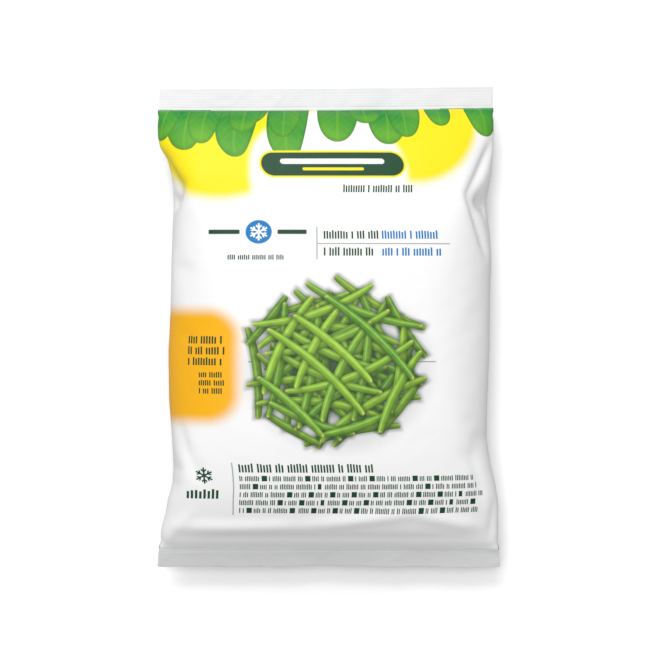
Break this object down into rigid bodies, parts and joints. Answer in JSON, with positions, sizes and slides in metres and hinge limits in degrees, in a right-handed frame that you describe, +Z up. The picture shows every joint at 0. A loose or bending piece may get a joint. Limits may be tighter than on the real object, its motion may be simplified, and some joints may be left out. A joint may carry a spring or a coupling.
{
  "type": "filled pillow bag of frozen green beans",
  "caption": "Sealed white film pillow bag holding frozen whole green beans, lying on its back with its printed front up, for a freezer shelf, a kitchen or a shop display.",
  "frame": {"origin": "under the middle of the bag, on the surface that it lies on", "axes": "+Z up out of the printed front, +Y to the top seal, +X to the right of the print"},
  "size_m": [0.3004, 0.42, 0.0878],
  "materials": {
    "white_film": "satin white film, printed on its front",
    "frozen_green_bean": "frosted bean skin, matt"
  },
  "bodies": {
    "root": {"film_bag": "white_film", "frozen_beans": "frozen_green_bean"}
  },
  "joints": []
}
